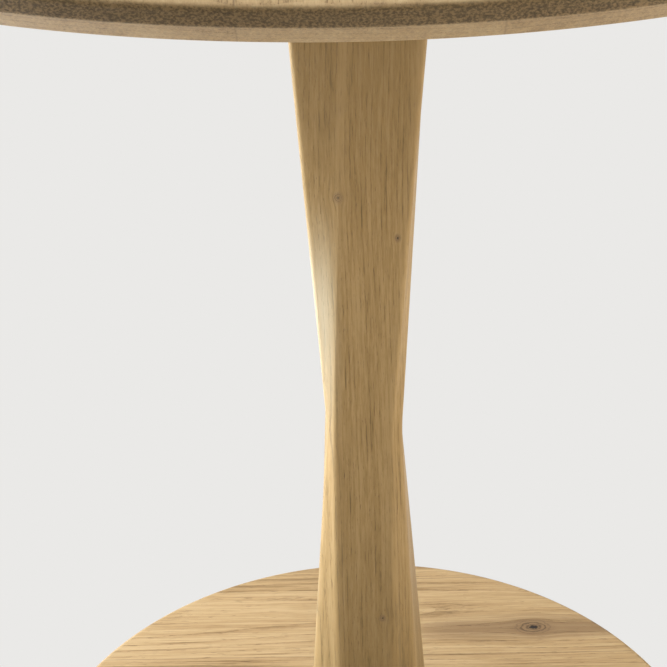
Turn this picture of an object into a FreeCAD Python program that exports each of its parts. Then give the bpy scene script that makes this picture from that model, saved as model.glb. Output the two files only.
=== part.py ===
import FreeCAD, Part
import math
import os

import Sketcher

# A round pedestal table in oak whose top tilts up on a pivot rod. Lengths are millimetres.
# The origin is on the floor under the middle of the column, +Z is up, the pivot rod runs along Y
# and the hand bolt that locks the top is on the -X side of the head block.

DRIVING_SIZES = {
    # whole table
    "table_height": 760,
    "top_diameter": 800,
    "top_thickness": 18,
    "top_arris": 3,
    "bevel_width": 10,
    "bevel_depth": 10,
    "bevel_round": 1.5,
    # base disc and what is let into its underside
    "base_diameter": 450,
    "base_thickness": 25,
    "base_edge_round": 4,
    "base_lower_chamfer": 2,
    "weight_diameter": 300,
    "weight_thickness": 6,
    "weight_clearance": 1,
    "weight_screw_circle": 260,
    "glide_height": 3,
    "glide_diameter": 24,
    "glide_circle": 390,
    "glide_chamfer": 0.8,
    # column: the corner edges and the side edges of its three sections, as a radius from the
    # column's axis and an angle from the front (-Y) towards the left (-X)
    "waist_height": 320,
    "head_corner_radius": 62.5,
    "head_corner_angle": 41.6,
    "head_side_radius": 44.5,
    "head_side_angle": 3,
    "waist_corner_radius": 26.8,
    "waist_corner_angle": 52.5,
    "waist_side_radius": 28.4,
    "waist_side_angle": 38,
    "foot_corner_radius": 46.5,
    "foot_corner_angle": 68,
    "foot_side_radius": 40.3,
    "foot_side_angle": 30.5,
    "head_rounding": 2,
    "waist_rounding": 2,
    "foot_rounding": 12,
    # head block, its plate and the pivot
    "block_height": 36,
    "block_width": 120,
    "block_left": 75,
    "block_relief": 0.3,
    "relief_start": 30,
    "relief_run": 10,
    "pivot_offset": 60,
    "pivot_drop": 18,
    "pivot_radius": 6,
    "pivot_clearance": 0.05,
    "bush_wall": 2,
    "bush_length": 30,
    "plate_thickness": 4,
    "plate_length": 110,
    "plate_width": 118,
    # bearers under the top
    "bearer_length": 560,
    "bearer_thickness": 24,
    "bearer_taper": 40,
    "bearer_end_height": 14,
    "bearer_screw_spacing": 155,
    "counterbore_depth": 10,
    "counterbore_radius": 5.5,
    "spacer_thickness": 1,
    "spacer_radius": 12,
    "washer_thickness": 2.5,
    "washer_radius": 12,
    "washer_hole_radius": 6.3,
    "nut_height": 10,
    "nut_corner_radius": 10.4,
    "nut_dome_radius": 8.4,
    "rod_end_length": 11,
    # hand bolt and keeper
    "case_gap": 4,
    "case_length": 57,
    "case_width": 26,
    "case_depth": 23,
    "flange_thickness": 2.5,
    "flange_width": 60,
    "bolt_length": 47,
    "bolt_width": 12,
    "bolt_height": 6,
    "bolt_drop": 16,
    "bolt_clearance": 0.2,
    "bolt_setback": 0.5,
    "bolt_travel": 9,
    "nose_chamfer": 1.5,
    "stem_radius": 2,
    "stem_setback": 28.5,
    "stem_grip": 3,
    "stem_reach": 5,
    "slot_clearance": 0.6,
    "knob_radius": 8,
    "knob_height": 9,
    "knob_neck": 6,
    "keeper_thickness": 2,
    "keeper_width": 36,
    "keeper_height": 30,
    "keeper_clearance": 0.7,
    "mortise_depth": 11,
    # fastener sizes
    "column_screw_radius": 4,
    "column_screw_head_radius": 8,
    "column_screw_length": 95,
    "column_screw_circle": 50,
    "weight_screw_radius": 2.5,
    "weight_screw_head_radius": 5,
    "weight_screw_length": 21,
    "nail_radius": 1.2,
    "nail_head_radius": 3.5,
    "nail_head_height": 1,
    "nail_length": 18,
    "nail_recess": 1.2,
    "plate_screw_radius": 3,
    "plate_screw_head_radius": 6,
    "plate_screw_length": 70,
    "plate_screw_circle": 56,
    "block_screw_radius": 2.5,
    "block_screw_head_radius": 4.5,
    "block_screw_head_height": 3,
    "block_screw_length": 28,
    "block_screw_across": 20,
    "block_screw_along": 53,
    "bearer_screw_radius": 2.5,
    "bearer_screw_head_radius": 4.8,
    "bearer_screw_head_height": 3,
    "bearer_screw_length": 39,
    "case_screw_radius": 2,
    "case_screw_head_radius": 4,
    "case_screw_length": 14,
    "case_screw_along": 48,
    "case_screw_across": 44,
    "keeper_screw_radius": 1.5,
    "keeper_screw_head_radius": 3,
    "keeper_screw_length": 16,
    "keeper_screw_across": 22,
    "keeper_screw_drop": 9,
    "pilot_depth": 11,
    "hole_clearance": 0.05,
}

# Heights and distances that several pieces share, written for the spreadsheet's expressions.
UNDERSIDE = "(dims.table_height - dims.top_thickness)"
PLATE_TOP = "(dims.table_height - dims.top_thickness - dims.block_height)"
HEAD_TOP = "(dims.table_height - dims.top_thickness - dims.block_height - dims.plate_thickness)"
PIVOT_LEVEL = "(dims.table_height - dims.top_thickness - dims.pivot_drop)"
BEARER_INNER = "(dims.block_width / 2 + dims.spacer_thickness)"
BEARER_OUTER = "(dims.block_width / 2 + dims.spacer_thickness + dims.bearer_thickness)"
CASE_RIGHT = "(-dims.block_left - dims.case_gap)"
BOLT_LEVEL = "(dims.table_height - dims.top_thickness - dims.bolt_drop)"
STEM_PLACE = "(-dims.block_left - dims.case_gap - dims.stem_setback)"

doc = FreeCAD.newDocument("TiltTopTable")
sheet = doc.addObject("Spreadsheet::Sheet", "dims")
for row, (alias, value) in enumerate(DRIVING_SIZES.items(), start=1):
    sheet.set("A%d" % row, alias)
    sheet.set("B%d" % row, str(value))
    sheet.setAlias("B%d" % row, alias)
doc.recompute()


def size(alias):
    """A driving dimension read back from the spreadsheet."""
    return float(sheet.get(alias))


pieces = []


def add_piece(piece):
    """Keep a finished sub-part for the checks and the export."""
    pieces.append(piece)
    return piece


def new_body(label, **place):
    """A PartDesign body with its own label; x, y and z are expressions for its Placement."""
    body = doc.addObject("PartDesign::Body", label)
    body.Label = label
    for axis, formula in place.items():
        body.setExpression("Placement.Base.%s" % axis, formula)
    return add_piece(body)


def origin_feature(body, role):
    """One of the body's own origin planes or axes."""
    return [feature for feature in body.Origin.OriginFeatures if feature.Role == role][0]


def new_sketch(body, plane, offset=None):
    """An empty sketch on one of the body's origin planes, or at an offset along its normal."""
    sketch = body.newObject("Sketcher::SketchObject", body.Label + "_sketch")
    sketch.AttachmentSupport = [(origin_feature(body, plane), "")]
    sketch.MapMode = "FlatFace"
    if offset:
        sketch.setExpression("AttachmentOffset.Base.z", offset)
    return sketch


def bind(sketch, constraint, formula):
    """Add a dimension to a sketch and bind it to the spreadsheet."""
    index = sketch.addConstraint(constraint)
    sketch.setExpression("Constraints[%d]" % index, formula)


def draw_outline(sketch, corners):
    """A closed outline of straight lines through corners given as pairs of expressions."""
    count = len(corners)
    first = sketch.GeometryCount
    start = []
    for number in range(count):
        turn = 2 * math.pi * number / count
        start.append(FreeCAD.Vector(20 * math.cos(turn), 20 * math.sin(turn), 0))
    for number in range(count):
        sketch.addGeometry(Part.LineSegment(start[number], start[(number + 1) % count]), False)
    for number in range(count):
        following = first + (number + 1) % count
        sketch.addConstraint(Sketcher.Constraint("Coincident", first + number, 2, following, 1))
    for number, (across, upward) in enumerate(corners):
        line = first + number
        bind(sketch, Sketcher.Constraint("DistanceX", -1, 1, line, 1, start[number].x), across)
        bind(sketch, Sketcher.Constraint("DistanceY", -1, 1, line, 1, start[number].y), upward)


def draw_rectangle(sketch, left, right, bottom, top):
    """A rectangle between four expressions."""
    draw_outline(sketch, [(left, bottom), (right, bottom), (right, top), (left, top)])


def draw_circle(sketch, across, upward, radius):
    """A circle whose centre and radius are expressions."""
    start = Part.Circle(FreeCAD.Vector(1, 1, 0), FreeCAD.Vector(0, 0, 1), 1)
    circle = sketch.addGeometry(start, False)
    bind(sketch, Sketcher.Constraint("Radius", circle, 1), radius)
    bind(sketch, Sketcher.Constraint("DistanceX", -1, 1, circle, 3, 1), across)
    bind(sketch, Sketcher.Constraint("DistanceY", -1, 1, circle, 3, 1), upward)


def revolve(body, corners):
    """A solid of revolution about the body's Z axis from a half outline in its XZ plane."""
    sketch = new_sketch(body, "XZ_Plane")
    draw_outline(sketch, corners)
    turned = body.newObject("PartDesign::Revolution", body.Label + "_turned")
    turned.Profile = sketch
    turned.ReferenceAxis = (sketch, ["V_Axis"])
    turned.Angle = 360
    doc.recompute()
    return turned


def pad(body, sketch, length, both_ways=False, reverse=False):
    """Extrude a sketch; both_ways centres the length on the sketch's plane."""
    block = body.newObject("PartDesign::Pad", body.Label + "_pad")
    block.Profile = sketch
    block.SideType = "Symmetric" if both_ways else "One side"
    block.Reversed = reverse
    block.setExpression("Length", length)
    doc.recompute()
    return block


def cut_through(body, sketch):
    """Cut a sketch right through the body on both sides of the sketch's plane."""
    volume_before = body.Shape.Volume
    pocket = body.newObject("PartDesign::Pocket", body.Label + "_cut")
    pocket.Profile = sketch
    pocket.Type = "ThroughAll"
    pocket.SideType = "Symmetric"
    doc.recompute()
    if pocket.Shape.Volume > volume_before - 1e-3:
        raise RuntimeError("the cut in %s removes nothing" % body.Label)
    return pocket


def bore(body, across, upward, radius, plane):
    """A round hole right through the body, square to one of its origin planes."""
    sketch = new_sketch(body, plane)
    draw_circle(sketch, across, upward, radius)
    return cut_through(body, sketch)


def blind_cut(body, sketch, depth, reverse=True):
    """Cut a sketch into the body to a depth; reverse cuts along the sketch's normal."""
    volume_before = body.Shape.Volume
    pocket = body.newObject("PartDesign::Pocket", body.Label + "_blind")
    pocket.Profile = sketch
    pocket.Reversed = reverse
    pocket.setExpression("Length", depth)
    doc.recompute()
    if pocket.Shape.Volume > volume_before - 1e-3:
        raise RuntimeError("the blind cut in %s removes nothing" % body.Label)
    return pocket


def bore_ring(body, places, radius):
    """Holes through a body, square to its XY plane, one at each of the given places."""
    sketch = new_sketch(body, "XY_Plane")
    for across, along, _ in places:
        draw_circle(sketch, across, along, radius)
    return cut_through(body, sketch)


def countersink(body, name, places, level=None, upward=True):
    """Screw holes square to the XY plane, each with a cone for the head whose wide end is at
    a level and which narrows upward or downward."""
    bore_ring(body, places, "dims.%s_radius + dims.hole_clearance" % name)
    cone = new_sketch(body, "XY_Plane", level)
    for across, along, _ in places:
        draw_circle(cone, across, along, "dims.%s_head_radius + dims.hole_clearance" % name)
    pocket = blind_cut(body, cone, "dims.%s_head_radius - dims.%s_radius" % (name, name), upward)
    pocket.TaperAngle = -45
    doc.recompute()


def soften(body, kind, level, radius, amount):
    """Fillet or chamfer the round edge at a level and a radius about the body's Z axis."""

    def wanted(edge):
        if not hasattr(edge.Curve, "Radius"):
            return False
        centre = body.Placement.inverse().multVec(edge.Curve.Center)
        return abs(centre.z - level) < 1e-4 and abs(edge.Curve.Radius - radius) < 1e-4

    return soften_edges(body, kind, amount, wanted)


def soften_edges(body, kind, amount, wanted):
    """Fillet or chamfer the edges of the body that the wanted function picks."""
    base = body.Tip
    names = []
    for number, edge in enumerate(body.Shape.Edges, start=1):
        if wanted(edge):
            names.append("Edge%d" % number)
    softened = body.newObject("PartDesign::%s" % kind, body.Label + "_" + kind.lower())
    softened.Base = (base, names)
    softened.setExpression("Radius" if kind == "Fillet" else "Size", amount)
    doc.recompute()
    return softened


def repeat(label, original, places, turns=(FreeCAD.Rotation(),)):
    """One sub-part that holds several separate solids: copies of a piece at places that are
    triples of expressions, turned about the piece's own origin by each turn in rotation."""
    copies = []
    for number, place in enumerate(places):
        copy = doc.addObject("App::Link", "%s_%d" % (label, number + 1))
        copy.LinkedObject = original
        copy.Placement = FreeCAD.Placement(FreeCAD.Vector(), turns[number % len(turns)])
        for axis, formula in zip("xyz", place):
            copy.setExpression("Placement.Base.%s" % axis, formula)
        copies.append(copy)
    group = doc.addObject("Part::Compound", label)
    group.Label = label
    group.Links = copies
    doc.recompute()
    return add_piece(group)


def screw_body(name, flat_head=False):
    """One screw with its head's outer face at its origin and its tip below, on the Z axis."""
    radius = "dims.%s_radius" % name
    head = "dims.%s_head_radius" % name
    length = "dims.%s_length" % name
    if flat_head:
        head_bottom = "-dims.%s_head_height" % name
        neck = [(head, head_bottom), (radius, head_bottom)]
    else:
        neck = [(radius, "%s - %s" % (radius, head))]
    tip = [(radius, "2 * %s - %s" % (radius, length)), ("0", "-" + length)]
    socket = [("0", "-0.6 * %s" % radius), ("0.5 * " + radius, "-0.4 * " + radius),
              ("0.6 * " + radius, "0")]
    screw = doc.addObject("PartDesign::Body", name)
    revolve(screw, socket + [(head, "0")] + neck + tip)
    return screw


def ring_places(circle, count, level, first_angle):
    """Places spaced evenly round a circle, as expressions."""
    places = []
    for number in range(count):
        angle = first_angle + 360 * number / count
        across = "dims.%s / 2 * cos(%g deg)" % (circle, angle)
        along = "dims.%s / 2 * sin(%g deg)" % (circle, angle)
        places.append((across, along, level))
    return places


# How a turned piece's own Z axis lies: downwards, or towards the front, back or left side.
DOWNWARDS = (FreeCAD.Rotation(FreeCAD.Vector(1, 0, 0), 180),)
FRONT_AND_BACK = (FreeCAD.Rotation(FreeCAD.Vector(1, 0, 0), 90),
                  FreeCAD.Rotation(FreeCAD.Vector(1, 0, 0), -90))
TO_THE_LEFT = (FreeCAD.Rotation(FreeCAD.Vector(0, 1, 0), -90),)

# --- base: wooden disc, steel weight plate, glides and their fasteners ---

COLUMN_SCREWS = ring_places("column_screw_circle", 4, "dims.glide_height", 45)
WEIGHT_SCREWS = ring_places("weight_screw_circle", 6, "dims.glide_height", 0)
GLIDES = ring_places("glide_circle", 6, "0", 30)


def make_base():
    """The base disc with a round recess for the weight plate, its upper edge rounded over."""
    base = new_body("base_disc", z="dims.glide_height")
    recess = "dims.weight_diameter / 2 + dims.weight_clearance"
    revolve(base, [
        ("0", "dims.weight_thickness"),
        (recess, "dims.weight_thickness"),
        (recess, "0"),
        ("dims.base_diameter / 2", "0"),
        ("dims.base_diameter / 2", "dims.base_thickness"),
        ("0", "dims.base_thickness"),
    ])
    edge_radius = size("base_diameter") / 2
    soften(base, "Fillet", size("base_thickness"), edge_radius, "dims.base_edge_round")
    soften(base, "Chamfer", 0, edge_radius, "dims.base_lower_chamfer")
    clearance = "dims.%s_radius + dims.hole_clearance"
    bore_ring(base, COLUMN_SCREWS, clearance % "column_screw")
    hole = new_sketch(base, "XY_Plane")
    for across, along, _ in WEIGHT_SCREWS:
        draw_circle(hole, across, along, clearance % "weight_screw")
    blind_cut(base, hole, "dims.weight_screw_length + 1")
    nails = new_sketch(base, "XY_Plane")
    for across, along, _ in GLIDES:
        draw_circle(nails, across, along, clearance % "nail")
    blind_cut(base, nails, "dims.nail_length")


def make_weight_plate():
    """Steel disc let into the base's underside, countersunk from below for its screws."""
    plate = new_body("weight_plate", z="dims.glide_height")
    outline = new_sketch(plate, "XY_Plane")
    draw_circle(outline, "0", "0", "dims.weight_diameter / 2")
    pad(plate, outline, "dims.weight_thickness")
    for name, places in (("column_screw", COLUMN_SCREWS), ("weight_screw", WEIGHT_SCREWS)):
        countersink(plate, name, places)


def make_glides():
    """Plastic glide pads nailed under the base, each with a recess for its nail's head."""
    pad_body = doc.addObject("PartDesign::Body", "glide")
    revolve(pad_body, [
        ("dims.nail_radius + dims.hole_clearance", "dims.nail_recess"),
        ("dims.nail_head_radius + dims.hole_clearance", "dims.nail_recess"),
        ("dims.nail_head_radius + dims.hole_clearance", "0"),
        ("dims.glide_diameter / 2 - dims.glide_chamfer", "0"),
        ("dims.glide_diameter / 2", "dims.glide_chamfer"),
        ("dims.glide_diameter / 2", "dims.glide_height"),
        ("dims.nail_radius + dims.hole_clearance", "dims.glide_height"),
    ])
    repeat("floor_glides", pad_body, GLIDES)


def make_base_fasteners():
    """Nails in the glides, and the two sets of countersunk screws in the weight plate."""
    head_level = "dims.nail_recess - dims.nail_head_height"
    nail_places = [(across, along, head_level) for across, along, _ in GLIDES]
    repeat("glide_nails", screw_body("nail", flat_head=True), nail_places, DOWNWARDS)
    repeat("weight_plate_screws", screw_body("weight_screw"), WEIGHT_SCREWS, DOWNWARDS)
    repeat("column_screws", screw_body("column_screw"), COLUMN_SCREWS, DOWNWARDS)


# --- column ---

PLATE_SCREWS = ring_places("plate_screw_circle", 4, PLATE_TOP, 45)


def rounded_corner(before, corner, after, rounding):
    """The two ends and the middle of the arc that rounds one corner of an outline."""
    to_before = (before - corner).normalize()
    to_after = (after - corner).normalize()
    half_angle = to_before.getAngle(to_after) / 2
    middle = (to_before + to_after).normalize()
    reach = rounding / math.tan(half_angle)
    sag = rounding / math.sin(half_angle) - rounding
    return corner + to_before * reach, corner + middle * sag, corner + to_after * reach


def column_section(name, level):
    """One level section of the column: four corner edges and four side edges, turned about
    the axis by quarter turns, joined by straight sides with rounded corners."""
    corners = []
    for quarter in range(4):
        for edge in ("corner", "side"):
            radius = size("%s_%s_radius" % (name, edge))
            angle = math.radians(quarter * 90 - size("%s_%s_angle" % (name, edge)))
            across, along = radius * math.sin(angle), -radius * math.cos(angle)
            corners.append(FreeCAD.Vector(across, along, level))
    rounding = size(name + "_rounding")
    arcs = []
    for number, corner in enumerate(corners):
        following = corners[(number + 1) % len(corners)]
        arcs.append(rounded_corner(corners[number - 1], corner, following, rounding))
    edges = []
    for number, (start, middle, end) in enumerate(arcs):
        edges.append(Part.Arc(start, middle, end).toShape())
        edges.append(Part.LineSegment(end, arcs[(number + 1) % len(arcs)][0]).toShape())
    return Part.Wire(edges)


def make_column():
    """Square at its head, narrow and turned at the waist and eight-sided at the foot, with
    straight edges between the sections, and pilot holes for the screws at both ends."""
    foot_level = size("glide_height") + size("base_thickness")
    plate_level = size("table_height") - size("top_thickness") - size("block_height")
    head_level = plate_level - size("plate_thickness")
    head = column_section("head", head_level)
    waist = column_section("waist", size("waist_height"))
    foot = column_section("foot", foot_level)
    upper = Part.makeLoft([waist, head], True, True)
    lower = Part.makeLoft([foot, waist], True, True)
    solid = upper.fuse(lower)
    for name, bottom, depth in (
        ("column_screw", 0, size("glide_height") + size("column_screw_length") + 1),
        ("plate_screw", plate_level - size("plate_screw_length") - 1, plate_level),
    ):
        radius = size(name + "_radius") + size("hole_clearance")
        for number in range(4):
            angle = math.radians(45 + 90 * number)
            reach = size(name + "_circle") / 2
            place = FreeCAD.Vector(reach * math.cos(angle), reach * math.sin(angle), bottom)
            solid = solid.cut(Part.makeCylinder(radius, depth, place))
    column = doc.addObject("Part::Feature", "column")
    column.Label = "column"
    column.Shape = solid
    add_piece(column)


# --- head plate, head block and pivot ---

BLOCK_SCREWS = []
for side in (-1, 1):
    for end in (-1, 1):
        BLOCK_SCREWS.append((
            "%d * dims.block_screw_across" % side,
            "%d * dims.block_screw_along" % end,
            "%s - dims.block_screw_head_height" % HEAD_TOP))


def make_head_plate():
    """Steel plate on the column's head, with countersunk holes for the column's screws."""
    plate = new_body("head_plate", z=HEAD_TOP)
    outline = new_sketch(plate, "XY_Plane")
    draw_rectangle(outline, "-dims.plate_length / 2", "dims.plate_length / 2",
                   "-dims.plate_width / 2", "dims.plate_width / 2")
    pad(plate, outline, "dims.plate_thickness")
    bore_ring(plate, BLOCK_SCREWS, "dims.block_screw_radius + dims.hole_clearance")
    countersink(plate, "plate_screw", PLATE_SCREWS, "dims.plate_thickness", upward=False)
    repeat("head_plate_screws", screw_body("plate_screw"), PLATE_SCREWS)
    repeat("block_screws", screw_body("block_screw", flat_head=True), BLOCK_SCREWS, DOWNWARDS)


def make_head_block():
    """The wooden block that carries the pivot. Its right end is rounded about the pivot, so the
    top swings past it; its upper face carries the top and is a little lower near the pivot."""
    block = new_body("head_block", z=PLATE_TOP)
    end = "dims.pivot_offset + dims.pivot_drop - dims.block_relief"
    low_top = "dims.block_height - dims.block_relief"
    outline = new_sketch(block, "XZ_Plane")
    draw_outline(outline, [
        ("-dims.block_left", "0"),
        (end, "0"),
        (end, low_top),
        ("dims.relief_start + dims.relief_run", low_top),
        ("dims.relief_start", "dims.block_height"),
        ("-dims.block_left", "dims.block_height"),
    ])
    pad(block, outline, "dims.block_width", both_ways=True)
    end_place = size("pivot_offset") + size("pivot_drop") - size("block_relief")
    top_place = size("table_height") - size("top_thickness") - size("block_relief")

    def upper_end_edge(edge):
        middle = edge.CenterOfMass
        return abs(middle.x - end_place) < 1e-4 and abs(middle.z - top_place) < 1e-4

    soften_edges(block, "Fillet", "dims.pivot_drop - dims.block_relief", upper_end_edge)
    bush_bore = "dims.pivot_radius + dims.bush_wall + dims.hole_clearance"
    bore(block, "dims.pivot_offset", "dims.block_height - dims.pivot_drop", bush_bore, "XZ_Plane")
    mortise = new_sketch(block, "YZ_Plane", "-dims.block_left")
    draw_bolt_opening(mortise, "dims.block_height - dims.bolt_drop")
    blind_cut(block, mortise, "dims.mortise_depth")
    pilots = new_sketch(block, "XY_Plane")
    for across, along, _ in BLOCK_SCREWS:
        draw_circle(pilots, across, along, "dims.block_screw_radius + dims.hole_clearance")
    blind_cut(block, pilots,
              "dims.block_screw_length - dims.block_screw_head_height - dims.plate_thickness + 1")
    keeper_pilots = new_sketch(block, "YZ_Plane", "-dims.block_left")
    for side in (-1, 1):
        draw_circle(keeper_pilots, "%d * dims.keeper_screw_across / 2" % side,
                    "dims.block_height / 2 - dims.keeper_screw_drop",
                    "dims.keeper_screw_radius + dims.hole_clearance")
    blind_cut(block, keeper_pilots, "dims.keeper_screw_length - dims.keeper_thickness + 1")


def draw_bolt_opening(sketch, level):
    """The rectangle that the bolt's nose enters, with room all round it."""
    half_width = "(dims.bolt_width / 2 + dims.keeper_clearance)"
    half_height = "(dims.bolt_height / 2 + dims.keeper_clearance)"
    draw_rectangle(sketch, "-" + half_width, half_width,
                   "%s - %s" % (level, half_height), "%s + %s" % (level, half_height))


def ring_body(name, inner, outer, bottom, top):
    """A plain ring about the Z axis."""
    ring = doc.addObject("PartDesign::Body", name)
    revolve(ring, [(inner, bottom), (outer, bottom), (outer, top), (inner, top)])
    return ring


def on_pivot(label, original, distance):
    """The same piece at both ends of the pivot, its own Z axis pointing outwards."""
    front = ("dims.pivot_offset", "-" + distance, PIVOT_LEVEL)
    back = ("dims.pivot_offset", distance, PIVOT_LEVEL)
    return repeat(label, original, [front, back], FRONT_AND_BACK)


def dome_nut():
    """A hexagon nut with a domed end, its bearing face at its origin."""
    prism = doc.addObject("Part::Prism", "nut_prism")
    prism.Polygon = 6
    prism.setExpression("Circumradius", "dims.nut_corner_radius")
    prism.setExpression("Height", "dims.nut_height")
    dome = doc.addObject("Part::Sphere", "nut_dome")
    dome.setExpression("Radius", "dims.nut_dome_radius")
    dome.setExpression("Placement.Base.z", "dims.nut_height")
    dome.Angle1 = 0
    hollow = doc.addObject("Part::Cylinder", "nut_hollow")
    hollow.setExpression("Radius", "dims.pivot_radius + dims.hole_clearance")
    hollow.setExpression("Height", "dims.rod_end_length + 0.5")
    outside = doc.addObject("Part::Fuse", "nut_outside")
    outside.Base = prism
    outside.Tool = dome
    nut = doc.addObject("Part::Cut", "nut")
    nut.Base = outside
    nut.Tool = hollow
    doc.recompute()
    return nut


def make_pivot():
    """The steel rod along Y that the top turns on, and everything threaded over it."""
    half = "(%s + dims.washer_thickness + dims.rod_end_length)" % BEARER_OUTER
    rod = new_body("pivot_rod", x="dims.pivot_offset", z=PIVOT_LEVEL)
    rod.Placement = FreeCAD.Placement(rod.Placement.Base, FRONT_AND_BACK[0])
    revolve(rod, [
        ("0", "-" + half),
        ("dims.pivot_radius - 1", "-" + half),
        ("dims.pivot_radius", "1 - " + half),
        ("dims.pivot_radius", half + " - 1"),
        ("dims.pivot_radius - 1", half),
        ("0", half),
    ])
    bush = ring_body("bush", "dims.pivot_radius + dims.pivot_clearance",
                     "dims.pivot_radius + dims.bush_wall", "-dims.bush_length", "0")
    on_pivot("pivot_bushes", bush, "dims.block_width / 2")
    spacer = ring_body("spacer", "dims.washer_hole_radius", "dims.spacer_radius",
                       "0", "dims.spacer_thickness")
    on_pivot("spacer_washers", spacer, "dims.block_width / 2")
    washer = ring_body("washer", "dims.washer_hole_radius", "dims.washer_radius",
                       "0", "dims.washer_thickness")
    on_pivot("pivot_washers", washer, BEARER_OUTER)
    on_pivot("dome_nuts", dome_nut(), "(%s + dims.washer_thickness)" % BEARER_OUTER)


# --- tabletop and its bearers ---

BEARER_MIDDLE = "(%s + dims.bearer_thickness / 2)" % BEARER_INNER
SCREW_STEPS = (-1.5, -0.5, 0.5, 1.5)


def make_bearer(label, side):
    """A tapered bar across the underside, with the pivot hole and counterbored screw holes."""
    bearer = new_body(label, y="%d * %s" % (side, BEARER_MIDDLE), z=UNDERSIDE)
    outline = new_sketch(bearer, "XZ_Plane")
    half = "dims.bearer_length / 2"
    flat = "(dims.bearer_length / 2 - dims.bearer_taper)"
    draw_outline(outline, [
        ("-" + half, "0"),
        ("-" + half, "-dims.bearer_end_height"),
        ("-" + flat, "-dims.block_height"),
        (flat, "-dims.block_height"),
        (half, "-dims.bearer_end_height"),
        (half, "0"),
    ])
    pad(bearer, outline, "dims.bearer_thickness", both_ways=True)
    pivot_hole = "dims.pivot_radius + dims.hole_clearance"
    bore(bearer, "dims.pivot_offset", "-dims.pivot_drop", pivot_hole, "XZ_Plane")
    places = [("%g * dims.bearer_screw_spacing" % step, "0", None) for step in SCREW_STEPS]
    bore_ring(bearer, places, "dims.bearer_screw_radius + dims.hole_clearance")
    counterbores = new_sketch(bearer, "XY_Plane", "-dims.block_height")
    for across, along, _ in places:
        draw_circle(counterbores, across, along, "dims.counterbore_radius")
    blind_cut(bearer, counterbores, "dims.counterbore_depth")


def bearer_screw_places(side):
    """Where one bearer's screws have their heads."""
    level = "%s + dims.counterbore_depth - dims.bearer_screw_head_height" % PLATE_TOP
    along = "%d * %s" % (side, BEARER_MIDDLE)
    return [("%g * dims.bearer_screw_spacing" % step, along, level) for step in SCREW_STEPS]


def make_bearers():
    """Both bearers and the screws that hold them to the top."""
    screw = screw_body("bearer_screw", flat_head=True)
    for label, side in (("front", -1), ("rear", 1)):
        make_bearer(label + "_bearer", side)
        repeat(label + "_bearer_screws", screw, bearer_screw_places(side), DOWNWARDS)


def make_tabletop():
    """The round top: a short upright edge with a rounded arris, bevelled underneath."""
    top = new_body("tabletop", z=UNDERSIDE)
    revolve(top, [
        ("0", "0"),
        ("dims.top_diameter / 2 - dims.bevel_width", "0"),
        ("dims.top_diameter / 2", "dims.bevel_depth"),
        ("dims.top_diameter / 2", "dims.top_thickness"),
        ("0", "dims.top_thickness"),
    ])
    rim = size("top_diameter") / 2
    soften(top, "Fillet", size("top_thickness"), rim, "dims.top_arris")
    soften(top, "Fillet", size("bevel_depth"), rim, "dims.bevel_round")
    soften(top, "Fillet", 0, rim - size("bevel_width"), "dims.bevel_round")
    pilots = new_sketch(top, "XY_Plane")
    for side in (-1, 1):
        for across, along, _ in bearer_screw_places(side):
            draw_circle(pilots, across, along, "dims.bearer_screw_radius + dims.hole_clearance")
    blind_cut(top, pilots, "dims.pilot_depth")
    case_pilots = new_sketch(top, "XY_Plane")
    for across, along, _ in CASE_SCREWS:
        draw_circle(case_pilots, across, along, "dims.case_screw_radius + dims.hole_clearance")
    blind_cut(top, case_pilots, "dims.case_screw_length - dims.flange_thickness + 1")


# --- hand bolt on the top and its keeper on the block ---

CASE_LEFT = "(%s - dims.case_length)" % CASE_RIGHT
CASE_SCREWS = []
for side in (-1, 1):
    for end in (-1, 1):
        CASE_SCREWS.append((
            "%s - dims.case_length / 2 + %d * dims.case_screw_along / 2" % (CASE_RIGHT, side),
            "%d * dims.case_screw_across / 2" % end,
            "%s - dims.flange_thickness" % UNDERSIDE))


def make_case():
    """The bolt's case: a flange screwed to the underside and a box with the bolt's channel."""
    case = new_body("bolt_case", z=UNDERSIDE)
    flange = new_sketch(case, "XY_Plane")
    draw_rectangle(flange, CASE_LEFT, CASE_RIGHT, "-dims.flange_width / 2", "dims.flange_width / 2")
    pad(case, flange, "dims.flange_thickness", reverse=True)
    box = new_sketch(case, "XY_Plane")
    draw_rectangle(box, CASE_LEFT, CASE_RIGHT, "-dims.case_width / 2", "dims.case_width / 2")
    pad(case, box, "dims.case_depth", reverse=True)
    channel = new_sketch(case, "YZ_Plane", CASE_RIGHT)
    half_width = "(dims.bolt_width / 2 + dims.bolt_clearance)"
    half_height = "(dims.bolt_height / 2 + dims.bolt_clearance)"
    draw_rectangle(channel, "-" + half_width, half_width,
                   "-dims.bolt_drop - " + half_height, "%s - dims.bolt_drop" % half_height)
    blind_cut(case, channel, "dims.bolt_setback + dims.bolt_length + 1", reverse=False)
    slot = new_sketch(case, "XY_Plane", "-dims.case_depth")
    room = "(dims.stem_radius + dims.slot_clearance)"
    draw_rectangle(slot, "%s - %s" % (STEM_PLACE, room),
                   "%s + dims.bolt_travel + %s" % (STEM_PLACE, room), "-" + room, room)
    blind_cut(case, slot, "dims.case_depth - dims.bolt_drop")
    countersink(case, "case_screw", CASE_SCREWS, "-dims.flange_thickness")
    screw = screw_body("case_screw")
    repeat("bolt_case_screws", screw, CASE_SCREWS, DOWNWARDS)


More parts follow.
